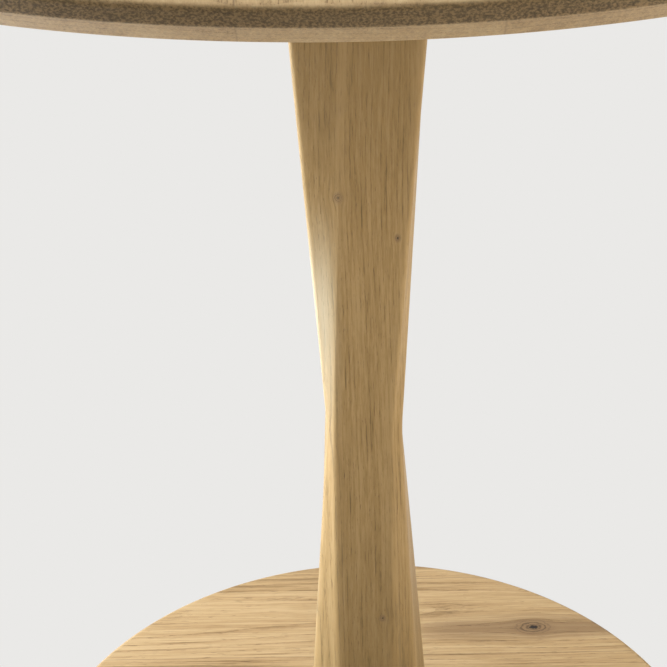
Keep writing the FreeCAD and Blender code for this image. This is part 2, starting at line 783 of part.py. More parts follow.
def make_bolt():
    """The flat sliding bolt with a bevelled nose, and the turned knob screwed into it."""
    bolt = new_body("sliding_bolt", z=BOLT_LEVEL)
    nose = "(%s - dims.bolt_setback)" % CASE_RIGHT
    half = "dims.bolt_height / 2"
    outline = new_sketch(bolt, "XZ_Plane")
    draw_outline(outline, [
        (nose + " - dims.bolt_length", "-" + half),
        (nose + " - dims.nose_chamfer", "-" + half),
        (nose, "dims.nose_chamfer - " + half),
        (nose, half + " - dims.nose_chamfer"),
        (nose + " - dims.nose_chamfer", half),
        (nose + " - dims.bolt_length", half),
    ])
    pad(bolt, outline, "dims.bolt_width", both_ways=True)
    stem_hole = new_sketch(bolt, "XY_Plane", "-" + half)
    draw_circle(stem_hole, STEM_PLACE, "0", "dims.stem_radius + dims.hole_clearance")
    blind_cut(bolt, stem_hole, "dims.stem_grip + 0.5")
    knob = new_body("bolt_knob", x=STEM_PLACE, z="%s - %s" % (BOLT_LEVEL, half))
    bottom = "(-dims.stem_reach - dims.knob_height)"
    revolve(knob, [
        ("0", "dims.stem_grip"),
        ("dims.stem_radius", "dims.stem_grip"),
        ("dims.stem_radius", "-dims.stem_reach"),
        ("dims.knob_neck", "-dims.stem_reach"),
        ("dims.knob_radius", "-dims.stem_reach - dims.knob_height / 4"),
        ("dims.knob_radius", bottom + " + dims.knob_height / 3"),
        ("dims.knob_neck", bottom),
        ("0", bottom),
    ])


KEEPER_LEVEL = "(%s + dims.block_height / 2)" % PLATE_TOP


def make_keeper():
    """The slotted keeper plate on the block's left end and its two screws."""
    keeper = new_body("keeper_plate", x="-dims.block_left", z=KEEPER_LEVEL)
    outline = new_sketch(keeper, "YZ_Plane")
    draw_rectangle(outline, "-dims.keeper_width / 2", "dims.keeper_width / 2",
                   "-dims.keeper_height / 2", "dims.keeper_height / 2")
    pad(keeper, outline, "dims.keeper_thickness", reverse=True)
    slot = new_sketch(keeper, "YZ_Plane")
    draw_bolt_opening(slot, "dims.block_height / 2 - dims.bolt_drop")
    cut_through(keeper, slot)
    holes = new_sketch(keeper, "YZ_Plane")
    cones = new_sketch(keeper, "YZ_Plane", "-dims.keeper_thickness")
    for side in (-1, 1):
        across = "%d * dims.keeper_screw_across / 2" % side
        draw_circle(holes, across, "-dims.keeper_screw_drop",
                    "dims.keeper_screw_radius + dims.hole_clearance")
        draw_circle(cones, across, "-dims.keeper_screw_drop",
                    "dims.keeper_screw_head_radius + dims.hole_clearance")
    cut_through(keeper, holes)
    cone = blind_cut(keeper, cones, "dims.keeper_screw_head_radius - dims.keeper_screw_radius")
    cone.TaperAngle = -45
    places = []
    for side in (-1, 1):
        places.append((
            "-dims.block_left - dims.keeper_thickness",
            "%d * dims.keeper_screw_across / 2" % side,
            "%s - dims.keeper_screw_drop" % KEEPER_LEVEL))
    repeat("keeper_screws", screw_body("keeper_screw"), places, TO_THE_LEFT)


make_base()
make_weight_plate()
make_glides()
make_base_fasteners()
make_column()
make_head_plate()
make_head_block()
make_pivot()
make_bearers()
make_tabletop()
make_case()
make_bolt()
make_keeper()
doc.recompute()

for item in doc.Objects:
    if "Invalid" in item.State or "Error" in item.State:
        raise RuntimeError("%s failed: %s" % (item.Label, item.State))
os.makedirs("parts", exist_ok=True)
for piece in pieces:
    if piece.Shape.isNull() or not piece.Shape.isValid():
        raise RuntimeError("%s has no valid shape" % piece.Label)
    piece.Shape.exportStep("parts/%s.step" % piece.Label)
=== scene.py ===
from collections import namedtuple
import math

import bpy
from mathutils import Matrix, Vector


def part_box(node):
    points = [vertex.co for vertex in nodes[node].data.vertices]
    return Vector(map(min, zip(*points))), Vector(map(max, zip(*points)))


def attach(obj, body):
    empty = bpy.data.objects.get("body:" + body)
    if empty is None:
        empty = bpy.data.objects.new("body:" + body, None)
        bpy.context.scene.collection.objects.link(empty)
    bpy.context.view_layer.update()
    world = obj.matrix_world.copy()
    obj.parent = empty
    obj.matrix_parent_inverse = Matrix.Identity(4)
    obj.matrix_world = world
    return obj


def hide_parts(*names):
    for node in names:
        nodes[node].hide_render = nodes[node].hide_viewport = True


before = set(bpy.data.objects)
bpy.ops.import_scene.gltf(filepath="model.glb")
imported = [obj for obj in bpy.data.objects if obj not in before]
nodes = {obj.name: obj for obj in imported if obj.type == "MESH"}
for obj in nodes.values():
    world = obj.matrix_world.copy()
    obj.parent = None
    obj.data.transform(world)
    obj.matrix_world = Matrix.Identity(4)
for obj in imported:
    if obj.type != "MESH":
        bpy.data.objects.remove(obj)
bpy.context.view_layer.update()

# A round pedestal table in oak whose top tilts up. Lengths are metres in the CAD's own frame: the
# origin is on the floor under the middle of the column, +Z is up and the pivot rod runs along Y.

# ---------------------------------------------------------------- sizes

MM = 0.001
TOP_ARRIS = 3 * MM
TOP_BEVEL = 10 * MM
BEVEL_ROUND = 1.5 * MM
BASE_EDGE_ROUND = 4 * MM
BASE_LOWER_CHAMFER = 2 * MM
BASE_LOWER_ROUND = 0.5 * MM
PLATE_GAP = 1 * MM
UNDERFRAME_BEVEL = 0.8 * MM
METAL_BEVEL = 0.4 * MM

# The column's corner edges and side edges at three heights: radius from the axis, and the angle
# from the front (-Y) towards the left (-X).
COLUMN_HEAD = {"corner": (62.5 * MM, 41.6), "side": (44.5 * MM, 3.0), "rounding": 2.5 * MM}
COLUMN_WAIST = {"corner": (26.8 * MM, 52.5), "side": (28.4 * MM, 38.0), "rounding": 3.0 * MM}
COLUMN_FOOT = {"corner": (46.5 * MM, 68.0), "side": (40.3 * MM, 30.5), "rounding": 12.0 * MM}
WAIST_HEIGHT = 320 * MM
WAIST_BLEND = 9 * MM

# How finely the round and rounded shapes are divided.
ROUND_SEGMENTS = 360
OUTLINE_STEPS = 6
ARC_STEPS = 6
SIDE_STEPS = 6
STEPS_BELOW_WAIST = 48
STEPS_AT_WAIST = 12
STEPS_ABOVE_WAIST = 64


# ---------------------------------------------------------------- shader helpers

class Shader:
    """A material's node tree, with short calls that add nodes and return their outputs."""

    def __init__(self, name):
        self.material = bpy.data.materials.new(name)
        self.material.use_nodes = True
        self.tree = self.material.node_tree
        self.surface = self.tree.nodes["Principled BSDF"]

    def add(self, kind, inputs=(), **settings):
        """A new node; inputs maps a socket's name or number to a value or to another output."""
        node = self.tree.nodes.new(kind)
        for setting, value in settings.items():
            setattr(node, setting, value)
        for socket, value in dict(inputs).items():
            if isinstance(value, bpy.types.NodeSocket):
                self.tree.links.new(value, node.inputs[socket])
            else:
                node.inputs[socket].default_value = value
        return node

    def calc(self, operation, first, second=0.0, third=0.0):
        """One arithmetic step on numbers or outputs."""
        node = self.add("ShaderNodeMath", {0: first, 1: second, 2: third}, operation=operation)
        return node.outputs[0]

    def swing(self, total, value, amount):
        """A total pushed down and up by an amount as a value goes from 0 to 1."""
        return self.calc("MULTIPLY_ADD", self.calc("SUBTRACT", value, 0.5), amount, total)

    def position(self):
        """The point's place in the piece's own rest coordinates, as three numbers."""
        place = self.add("ShaderNodeTexCoord").outputs["Object"]
        parts = self.add("ShaderNodeSeparateXYZ", {0: place})
        return parts.outputs[0], parts.outputs[1], parts.outputs[2]

    def vector(self, x, y, z):
        """Three numbers or outputs as one vector."""
        return self.add("ShaderNodeCombineXYZ", {0: x, 1: y, 2: z}).outputs[0]

    def noise(self, vector, scale, detail, roughness=0.5):
        """Noise from 0 to 1, stretched by a scale for each axis."""
        stretched = self.add(
            "ShaderNodeVectorMath", {0: vector, 1: scale}, operation="MULTIPLY").outputs[0]
        node = self.add("ShaderNodeTexNoise", {
            "Vector": stretched, "Scale": 1.0, "Detail": detail, "Roughness": roughness})
        return node.outputs["Fac"]

    def ramp(self, value, start, end, low=0.0, high=1.0):
        """A smooth step from low to high as the value goes from start to end."""
        node = self.add("ShaderNodeMapRange", {
            "Value": value, "From Min": start, "From Max": end, "To Min": low, "To Max": high})
        node.interpolation_type = "SMOOTHSTEP"
        return node.outputs[0]

    def blend(self, factor, first, second):
        """Two colours mixed: the first at factor 0, the second at factor 1."""
        node = self.add("ShaderNodeMix", {0: factor}, data_type="RGBA", blend_type="MIX")
        for socket, value in ((6, first), (7, second)):
            if isinstance(value, bpy.types.NodeSocket):
                self.tree.links.new(value, node.inputs[socket])
            else:
                node.inputs[socket].default_value = (*value, 1.0)
        return node.outputs[2]

    def bump(self, height, depth):
        """Relief of a depth in metres, wired to the surface's normal."""
        node = self.add("ShaderNodeBump", {"Height": height, "Distance": depth, "Strength": 1.0})
        self.tree.links.new(node.outputs[0], self.surface.inputs["Normal"])

    def wire(self, socket, value):
        """Wire an output to the surface, or set one of its numbers."""
        if isinstance(value, bpy.types.NodeSocket):
            self.tree.links.new(value, self.surface.inputs[socket])
        else:
            self.surface.inputs[socket].default_value = value


# ---------------------------------------------------------------- oak

OAK_PALE = (0.590, 0.420, 0.212)
OAK_TAN = (0.490, 0.325, 0.148)
OAK_BROWN = (0.290, 0.180, 0.072)
OAK_PORE = (0.170, 0.098, 0.038)
OAK_END = (0.085, 0.055, 0.021)
OAK_STREAK = (0.240, 0.145, 0.066)
# Colour of the painted highlight: the key light's pale sheen on the column's left flank.
OAK_PAINTED_SHEEN = (0.690, 0.580, 0.375)
KNOT_RING = (0.095, 0.055, 0.026)
KNOT_CORE = (0.020, 0.012, 0.008)

# Noise scales, in cycles per metre along the fibres, across them and in depth.
WANDER_SCALE = (2.2, 5.0, 5.0)
JITTER_SCALE = (2.5, 60.0, 60.0)
BROAD_SCALE = (2.5, 26.0, 26.0)
BAND_SCALE = (5.0, 210.0, 210.0)
FIBRE_SCALE = (16.0, 800.0, 800.0)
THREAD_SCALE = (60.0, 2000.0, 2000.0)
PORE_SCALE = (110.0, 2400.0, 2400.0)
RAGGED_SCALE = (6.0, 240.0, 240.0)
CROOKED_SCALE = (260.0, 420.0, 420.0)
END_DOT_SCALE = (300.0, 900.0, 1400.0)

# How much each part of the figure changes the wood's lightness, round a middle value.
MIDDLE_LIGHTNESS = 0.62
FIBRE_WEIGHT = 1.75
THREAD_WEIGHT = 1.15
BROAD_WEIGHT = 0.95
BAND_WEIGHT = 1.25
EARLY_WOOD_WEIGHT = -0.26
YEAR_WEIGHT = 0.16
BOARD_WEIGHT = 0.30

# The boards come from anywhere along a log this long. Its heart wanders by up to half of
# HEART_WANDER, lies off each board's middle by up to half of HEART_SPREAD board widths, and its
# rings are uneven by up to YEAR_JITTER of a year.
LOG_LENGTH = 3.0
HEART_WANDER = 0.030
HEART_SPREAD = 0.8
YEAR_JITTER = 0.7
SEAM_WIDTH = 0.6 * MM
RELIEF_DEPTH = 0.25 * MM

GRAIN_AXES = {"X": (1, 0, 0), "Y": (0, 1, 0), "Z": (0, 0, 1)}

# What lies in the wood, and the painted shade and painted highlight laid on it. Places and widths are
# metres in its own grain; a pair of them says where an effect starts and where it is full.
Boards = namedtuple("Boards", "width shift")
Knot = namedtuple("Knot", "along across radius stretch")
Streak = namedtuple("Streak", "across width start full")
# Where the painted highlight lies: the key light's sheen on one flank.
SheenPatch = namedtuple("SheenPatch", "foot head across depth")
# Where the painted shade at a piece's foot and head starts and where it is full.
EndShade = namedtuple("EndShade", "foot head")
Place = namedtuple("Place", "along across depth")


def place_in_grain(shader, grain):
    """The point's place along the fibres, across the boards and in depth."""
    x, y, z = shader.position()
    return Place(*{"X": (x, y, z), "Y": (y, x, z), "Z": (z, x, y)}[grain])


def board_number(shader, across, boards):
    """Which board the point lies in, and how far into it, from 0 at one edge to 1 at the other."""
    count = shader.calc("DIVIDE", shader.calc("ADD", across, boards.shift), boards.width)
    return shader.calc("FLOOR", count), shader.calc("FRACT", count)


def board_draws(shader, number):
    """Three even draws from 0 to 1 for each board: its tone, its stretch of log and its heart."""
    draw = shader.add("ShaderNodeTexWhiteNoise", {"W": number}, noise_dimensions="1D")
    drawn = shader.add("ShaderNodeSeparateColor", {0: draw.outputs["Color"]})
    return draw.outputs["Value"], drawn.outputs[0], drawn.outputs[1]


def flow_round_knot(shader, along, across, knot):
    """Grain lines that part round a knot, and the distance from its middle in knot radii."""
    ahead = shader.calc("SUBTRACT", along, knot.along)
    ahead = shader.calc("DIVIDE", ahead, knot.stretch * knot.radius)
    aside = shader.calc("DIVIDE", shader.calc("SUBTRACT", across, knot.across), knot.radius)
    square = shader.calc("MULTIPLY_ADD", ahead, ahead, shader.calc("MULTIPLY", aside, aside))
    push = shader.calc("DIVIDE", 1.0, shader.calc("ADD", square, 0.35))
    parted = shader.calc("MULTIPLY", shader.calc("MULTIPLY", aside, knot.radius), push)
    return shader.calc("SUBTRACT", across, parted), shader.calc("SQRT", square)


def growth_years(shader, log_place, boards, number, heart_draw, pith, tilt, ring):
    """Years from the log's heart, which wanders slowly along the board."""
    flow = shader.vector(*log_place)
    wander = shader.swing(0.0, shader.noise(flow, WANDER_SCALE, 2.0), HEART_WANDER)
    heart_side = shader.swing(0.0, heart_draw, boards.width * HEART_SPREAD)
    middle = shader.calc("MULTIPLY", shader.calc("ADD", number, 0.5), boards.width)
    heart = shader.calc("ADD", shader.calc("SUBTRACT", middle, boards.shift), heart_side)
    aside = shader.calc("SUBTRACT", shader.calc("ADD", log_place.across, wander), heart)
    below = shader.calc("MULTIPLY_ADD", log_place.along, tilt, shader.calc("ADD", log_place.depth, pith))
    square = shader.calc("MULTIPLY_ADD", aside, aside, shader.calc("MULTIPLY", below, below))
    jitter = shader.calc("MULTIPLY", shader.noise(flow, JITTER_SCALE, 2.0), YEAR_JITTER)
    return shader.calc("ADD", shader.calc("DIVIDE", shader.calc("SQRT", square), ring), jitter)


def add_streak(shader, colour, log_place, along, streak):
    """A dark streak that follows the grain, with ragged edges."""
    edge = shader.calc("ABSOLUTE", shader.calc("SUBTRACT", log_place.across, streak.across))
    ragged = shader.noise(shader.vector(*log_place), RAGGED_SCALE, 4.0, 0.7)
    edge = shader.swing(edge, ragged, 1.6 * streak.width)
    strength = shader.calc("MULTIPLY", shader.ramp(edge, streak.width, 0.0), 0.70)
    strength = shader.calc("MULTIPLY", strength, shader.ramp(along, streak.start, streak.full))
    return shader.blend(strength, colour, OAK_STREAK)


def paint_end_shade(shader, colour, along, end_shade, brown):
    """Painted shade: the piece grows browner towards its foot and its head, where the base and the top
    shade it.
    """
    foot = shader.ramp(along, *end_shade.foot, 0.0, 0.55)
    head = shader.ramp(along, *end_shade.head, 0.0, 0.60)
    return shader.blend(shader.calc("ADD", foot, head), colour, brown)


def paint_sheen_patch(shader, colour, place, sheen_patch):
    """Painted highlight: a pale patch on one flank where the key light's sheen falls."""
    patch = shader.ramp(place.along, *sheen_patch.foot)
    patch = shader.calc("MULTIPLY", patch, shader.ramp(place.along, *sheen_patch.head))
    patch = shader.calc("MULTIPLY", patch, shader.ramp(place.across, *sheen_patch.across))
    patch = shader.calc("MULTIPLY", patch, shader.ramp(place.depth, *sheen_patch.depth))
    return shader.blend(shader.calc("MULTIPLY", patch, 0.75), colour, OAK_PAINTED_SHEEN)


def add_knot(shader, colour, place, distance):
    """A knot: a brown halo, dark loops and a nearly black core."""
    crooked = shader.noise(shader.vector(*place), CROOKED_SCALE, 3.0, 0.6)
    distance = shader.swing(distance, crooked, 0.55)
    loops = shader.calc("SINE", shader.calc("MULTIPLY", distance, 17.0))
    loops = shader.calc("MULTIPLY", shader.ramp(loops, -0.1, 0.9), shader.ramp(distance, 1.45, 0.85))
    halo = shader.calc("MULTIPLY", shader.ramp(distance, 2.0, 0.7), 0.45)
    colour = shader.blend(halo, colour, OAK_STREAK)
    colour = shader.blend(shader.calc("MULTIPLY", loops, 0.75), colour, KNOT_RING)
    return shader.blend(shader.ramp(distance, 0.40, 0.22), colour, KNOT_CORE)


def add_glue_line(shader, colour, into_board, width):
    """A fine dark line where two boards meet."""
    to_seam = shader.calc("MINIMUM", into_board, shader.calc("SUBTRACT", 1.0, into_board))
    seam = shader.ramp(to_seam, SEAM_WIDTH / width, 0.0)
    return shader.blend(shader.calc("MULTIPLY", seam, 0.45), colour, OAK_PORE)


def add_end_grain(shader, colour, place, grain, brown):
    """Where the surface cuts across the fibres it soaks up oil and shows darker dots."""
    normal = shader.add("ShaderNodeNewGeometry").outputs["Normal"]
    facing = shader.add("ShaderNodeVectorMath", {0: normal, 1: GRAIN_AXES[grain]},
                        operation="DOT_PRODUCT").outputs["Value"]
    cut = shader.ramp(shader.calc("ABSOLUTE", facing), 0.45, 1.0)
    dots = shader.noise(shader.vector(*place), END_DOT_SCALE, 2.0, 0.6)
    end_colour = shader.blend(shader.ramp(dots, 0.35, 0.65), OAK_END, brown)
    return shader.blend(shader.calc("MULTIPLY", cut, 0.92), colour, end_colour)


def oak(name, grain, boards, pith, tilt, ring, knots=(), streak=None, end_shade=None, sheen_patch=None,
        pale=OAK_PALE, tan=OAK_TAN, brown=OAK_BROWN, contrast=1.0, end_grain=False):
    """Oiled oak. grain is the axis that the fibres follow; boards lie side by side across it.
    pith is how far the log's heart lies from the surface, tilt how fast it drifts along the grain
    and ring the width of one year's growth."""
    shader = Shader(name)
    place = place_in_grain(shader, grain)
    number, into_board = board_number(shader, place.across, boards)
    board_tone, log_draw, heart_draw = board_draws(shader, number)

    # Each board has its own stretch of log, and knots part the grain round them.
    lines = place.across
    knot_distances = []
    for knot in knots:
        lines, distance = flow_round_knot(shader, place.along, lines, knot)
        knot_distances.append(distance)
    log_along = shader.calc("MULTIPLY_ADD", log_draw, LOG_LENGTH, place.along)
    log_place = Place(log_along, lines, place.depth)

    # Growth rings.
    years = growth_years(shader, log_place, boards, number, heart_draw, pith, tilt, ring)
    early_wood = shader.ramp(shader.calc("FRACT", years), 0.42, 0.0)
    year_tone = shader.add("ShaderNodeTexWhiteNoise", {"W": shader.calc("FLOOR", years)},
                           noise_dimensions="1D").outputs["Value"]

    # Fibres, pores and broad shading, all drawn out along the grain.
    flow = shader.vector(*log_place)
    fibres = shader.noise(flow, FIBRE_SCALE, 4.0, 0.65)
    threads = shader.noise(flow, THREAD_SCALE, 3.0, 0.7)
    broad = shader.noise(flow, BROAD_SCALE, 3.0)
    bands = shader.noise(flow, BAND_SCALE, 3.0, 0.6)
    pores = shader.noise(flow, PORE_SCALE, 1.5, 0.5)
    pore_limit = shader.ramp(early_wood, 0.0, 1.0, 0.69, 0.60)
    pore_mask = shader.ramp(shader.calc("SUBTRACT", pores, pore_limit), 0.0, 0.06)

    lightness = shader.swing(MIDDLE_LIGHTNESS, fibres, FIBRE_WEIGHT * contrast)
    lightness = shader.swing(lightness, threads, THREAD_WEIGHT * contrast)
    lightness = shader.swing(lightness, broad, BROAD_WEIGHT * contrast)
    lightness = shader.swing(lightness, bands, BAND_WEIGHT * contrast)
    lightness = shader.calc("MULTIPLY_ADD", early_wood, EARLY_WOOD_WEIGHT * contrast, lightness)
    lightness = shader.swing(lightness, year_tone, YEAR_WEIGHT * contrast)
    lightness = shader.swing(lightness, board_tone, BOARD_WEIGHT)
    colour = shader.blend(shader.ramp(lightness, 0.45, 1.15), tan, pale)
    colour = shader.blend(shader.ramp(lightness, 0.50, -0.10), colour, brown)
    colour = shader.blend(shader.calc("MULTIPLY", pore_mask, 0.55 * contrast), colour, OAK_PORE)

    if streak:
        colour = add_streak(shader, colour, log_place, place.along, streak)
    # Painted shade: browner towards both ends.
    if end_shade:
        colour = paint_end_shade(shader, colour, place.along, end_shade, brown)
    # Painted highlight: a pale patch where the key light's sheen falls.
    if sheen_patch:
        colour = paint_sheen_patch(shader, colour, place, sheen_patch)
    for distance in knot_distances:
        colour = add_knot(shader, colour, place, distance)
    colour = add_glue_line(shader, colour, into_board, boards.width)
    if end_grain:
        colour = add_end_grain(shader, colour, place, grain, brown)

    # Painted highlight: the rounded corners are painted paler where they catch the light;
    # they are also a little smoother, as handled edges are.
    wear_and_sheen = shader.add("ShaderNodeAttribute", attribute_name="edge").outputs["Fac"]
    shader.wire("Base Color", shader.blend(shader.calc("MULTIPLY", wear_and_sheen, 0.30), colour, pale))
    rough = shader.calc("MULTIPLY_ADD", fibres, 0.18, 0.50)
    rough = shader.calc("MULTIPLY_ADD", wear_and_sheen, -0.06, rough)
    shader.wire("Roughness", shader.calc("MULTIPLY_ADD", pore_mask, 0.20, rough))
    shader.wire("IOR", 1.45)
    relief = shader.calc("MULTIPLY_ADD", fibres, 0.45, shader.calc("MULTIPLY", threads, 0.30))
    relief = shader.calc("MULTIPLY_ADD", early_wood, -0.20, relief)
    relief = shader.calc("MULTIPLY_ADD", pore_mask, -0.60, relief)
    shader.bump(relief, RELIEF_DEPTH)
    return shader.material


# ---------------------------------------------------------------- metals and plastic

METAL_RELIEF = 0.04 * MM
PLASTIC_RELIEF = 0.05 * MM


def metal(name, colour, tint, roughness, brushed, metallic=1.0):
    """A brushed or plated metal: fine lines in one direction, blotches and dull spots."""
    shader = Shader(name)
    place = shader.vector(*shader.position())
    lines = shader.noise(place, brushed, 3.0, 0.6)
    blotches = shader.noise(place, (55.0, 55.0, 55.0), 4.0, 0.6)
    specks = shader.ramp(shader.noise(place, (900.0, 900.0, 900.0), 2.0), 0.62, 0.70)
    dull = tuple(0.45 * part for part in colour)
    base = shader.blend(shader.ramp(blotches, 0.35, 0.70), colour, tint)
    shader.wire("Base Color", shader.blend(shader.calc("MULTIPLY", specks, 0.25), base, dull))
    shader.wire("Metallic", metallic)
    rough = shader.calc("MULTIPLY_ADD", blotches, 0.16, roughness - 0.08)
    shader.wire("Roughness", shader.calc("MULTIPLY_ADD", lines, 0.10, rough))
    shader.bump(shader.calc("MULTIPLY_ADD", specks, 0.4, lines), METAL_RELIEF)
    return shader.material


def plastic(name, colour, roughness):
    """Moulded plastic with a fine sparked texture."""
    shader = Shader(name)
    place = shader.vector(*shader.position())
    grit = shader.noise(place, (1600.0, 1600.0, 1600.0), 2.0)
    scuffs = shader.noise(place, (70.0, 70.0, 70.0), 5.0, 0.7)
    lighter = tuple(min(1.0, 1.5 * part + 0.02) for part in colour)
    shader.wire("Base Color", shader.blend(shader.ramp(scuffs, 0.45, 0.75), colour, lighter))
    shader.wire("Roughness", shader.calc("MULTIPLY_ADD", scuffs, 0.2, roughness - 0.1))
    shader.bump(grit, PLASTIC_RELIEF)
    return shader.material


# ---------------------------------------------------------------- mesh helpers

def mesh_piece(name, points, faces, material, body, node, edge_points=()):
    """A smooth-shaded piece that stands for a CAD node; edge_points are its corner points, painted paler
    as a highlight and made smoother as wear.
    """
    mesh = bpy.data.meshes.new(name)
    mesh.from_pydata(points, [], faces)
    mesh.validate()
    mesh.materials.append(material)
    if edge_points:
        wear_and_sheen_layer = mesh.attributes.new("edge", "FLOAT", "POINT")
        wear_and_sheen_layer.data.foreach_set("value", edge_points)
    piece = bpy.data.objects.new(name, mesh)
    bpy.context.scene.collection.objects.link(piece)
    for polygon in mesh.polygons:
        polygon.use_smooth = True
    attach(piece, body)
    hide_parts(node)
    return piece


def rounded_outline(corners):
    """Points along an open outline; each corner is (across, height, rounding radius)."""
    points = []
    for number, (across, height, radius) in enumerate(corners):
        corner = Vector((across, height))
        if not radius:
            points.append(corner)
            continue
        before = (Vector(corners[number - 1][:2]) - corner).normalized()
        after = (Vector(corners[number + 1][:2]) - corner).normalized()
        half = before.angle(after) / 2
        centre = corner + (before + after).normalized() * radius / math.sin(half)
        start = corner + before * radius / math.tan(half) - centre
        end = corner + after * radius / math.tan(half) - centre
        sweep = start.angle_signed(end)
        for step in range(OUTLINE_STEPS + 1):
            turn = Matrix.Rotation(-sweep * step / OUTLINE_STEPS, 2)
            points.append(centre + turn @ start)
    return points


def turned(name, corners, material, body, node):
    """A solid of revolution about Z whose outline starts and ends on the axis."""
    outline = rounded_outline(corners)
    points = [(0.0, 0.0, outline[0].y)]
    for across, height in outline[1:-1]:
        for segment in range(ROUND_SEGMENTS):
            angle = 2 * math.pi * segment / ROUND_SEGMENTS
            points.append((across * math.cos(angle), across * math.sin(angle), height))
    last = len(points)
    points.append((0.0, 0.0, outline[-1].y))
    faces = []
    for segment in range(ROUND_SEGMENTS):
        following = (segment + 1) % ROUND_SEGMENTS
        faces.append((0, 1 + following, 1 + segment))
        for ring in range(len(outline) - 3):
            low = 1 + ring * ROUND_SEGMENTS
            high = low + ROUND_SEGMENTS
            faces.append((low + segment, low + following, high + following, high + segment))
        rim = last - ROUND_SEGMENTS
        faces.append((rim + segment, rim + following, last))
    piece = mesh_piece(name, points, faces, material, body, node)
    piece.data.set_sharp_from_angle(angle=math.radians(35))


# ---------------------------------------------------------------- column

def section_corners(section):
    """The eight corners of one section of the column, anticlockwise from above."""
    corners = []
    for quarter in range(4):
        for edge in ("corner", "side"):
            radius, angle = section[edge]
            turn = math.radians(quarter * 90 - angle)
            corners.append(Vector((radius * math.sin(turn), -radius * math.cos(turn))))
    return corners


def along_column(height, foot, waist, head, foot_height, head_height):
    """A value at a height: straight below and above the waist, with the bend eased over."""
    low = (waist - foot) / (WAIST_HEIGHT - foot_height)
    high = (head - waist) / (head_height - WAIST_HEIGHT)
    offset = height - WAIST_HEIGHT
    if abs(offset) > WAIST_BLEND:
        return waist + (low if offset < 0 else high) * offset
    ease = (offset + WAIST_BLEND) ** 2 / (4 * WAIST_BLEND)
    return waist + low * offset + (high - low) * ease


def column_heights(foot_height, head_height):
    """Levels of the column's rings, closer together at the waist."""
    blend_start = WAIST_HEIGHT - WAIST_BLEND
    blend_end = WAIST_HEIGHT + WAIST_BLEND
    heights = []
    for step in range(STEPS_BELOW_WAIST + 1):
        heights.append(foot_height + (blend_start - foot_height) * step / STEPS_BELOW_WAIST)
    for step in range(1, STEPS_AT_WAIST):
        heights.append(blend_start + 2 * WAIST_BLEND * step / STEPS_AT_WAIST)
    for step in range(STEPS_ABOVE_WAIST + 1):
        heights.append(blend_end + (head_height - blend_end) * step / STEPS_ABOVE_WAIST)
    return heights


def ring_points(corners, rounding, height):
    """One level ring: each corner rounded, each side divided; with how much each point takes of the
    painted edge highlight and the wear.
    """
    arcs = []
    for number, corner in enumerate(corners):
        before = corners[number - 1] - corner
        after = corners[(number + 1) % len(corners)] - corner
        half = before.angle(after) / 2
        reach = min(rounding / math.tan(half), 0.45 * before.length, 0.45 * after.length)
        radius = reach * math.tan(half)
        before, after = before.normalized(), after.normalized()
        centre = corner + (before + after).normalized() * radius / math.sin(half)
        start = corner + before * reach - centre
        sweep = start.angle_signed(corner + after * reach - centre)
        arc = []
        for step in range(ARC_STEPS + 1):
            arc.append(centre + Matrix.Rotation(-sweep * step / ARC_STEPS, 2) @ start)
        arcs.append(arc)
    points = []
    wear_and_sheen = []
    for number, arc in enumerate(arcs):
        for point in arc:
            points.append((point.x, point.y, height))
            wear_and_sheen.append(1.0)
        following = arcs[(number + 1) % len(arcs)][0]
        for step in range(1, SIDE_STEPS):
            point = arc[-1].lerp(following, step / SIDE_STEPS)
            points.append((point.x, point.y, height))
            wear_and_sheen.append(0.0)
    return points, wear_and_sheen


def make_column(material):
    """The twisted column: square at its head, narrow at the waist, eight-sided at the foot."""
    low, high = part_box("column")
    foot_height, head_height = low.z, high.z
    foot, waist, head = (section_corners(part) for part in (COLUMN_FOOT, COLUMN_WAIST, COLUMN_HEAD))
    points = []
    wear_and_sheen = []
    heights = column_heights(foot_height, head_height)
    for height in heights:
        corners = []
        for number in range(8):
            corners.append(along_column(
                height, foot[number], waist[number], head[number], foot_height, head_height))
        rounding = along_column(
            height, COLUMN_FOOT["rounding"], COLUMN_WAIST["rounding"], COLUMN_HEAD["rounding"],
            foot_height, head_height)
        ring, ring_wear_and_sheen = ring_points(corners, rounding, height)
        points += ring
        wear_and_sheen += ring_wear_and_sheen
    around = len(points) // len(heights)
    faces = []
    for level in range(len(heights) - 1):
        for number in range(around):
            following = (number + 1) % around
            low_ring = level * around
            high_ring = low_ring + around
            faces.append((low_ring + number, low_ring + following,
                          high_ring + following, high_ring + number))
    faces.append(tuple(reversed(range(around))))
    top_ring = (len(heights) - 1) * around
    faces.append(tuple(range(top_ring, top_ring + around)))
    piece = mesh_piece("column_shaft", points, faces, material, "pedestal",
                       "column", wear_and_sheen)
    piece.data.set_sharp_from_angle(angle=math.radians(50))


# ---------------------------------------------------------------- top and base

def make_top(material):
    """The round top, its upper arris rounded and its lower edge bevelled."""
    low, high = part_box("tabletop")
    radius = high.x
    turned("round_top", [
        (0.0, low.z, 0),
        (radius - TOP_BEVEL, low.z, BEVEL_ROUND),
        (radius, low.z + TOP_BEVEL, BEVEL_ROUND),
        (radius, high.z, TOP_ARRIS),
        (0.0, high.z, 0),
    ], material, "tilting_top", "tabletop")


def make_base(material):
    """The base disc with its rounded upper edge and the recess for the weight plate below."""
    low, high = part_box("base_disc")
    plate_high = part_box("weight_plate")[1]
    recess = plate_high.x + PLATE_GAP
    radius = high.x
    turned("round_base", [
        (0.0, plate_high.z, 0),
        (recess, plate_high.z, 0),
        (recess, low.z, BASE_LOWER_ROUND),
        (radius - BASE_LOWER_CHAMFER, low.z, BASE_LOWER_ROUND),
        (radius, low.z + BASE_LOWER_CHAMFER, BASE_LOWER_ROUND),
        (radius, high.z, BASE_EDGE_ROUND),
        (0.0, high.z, 0),
    ], material, "pedestal", "base_disc")


# ---------------------------------------------------------------- CAD nodes that stay

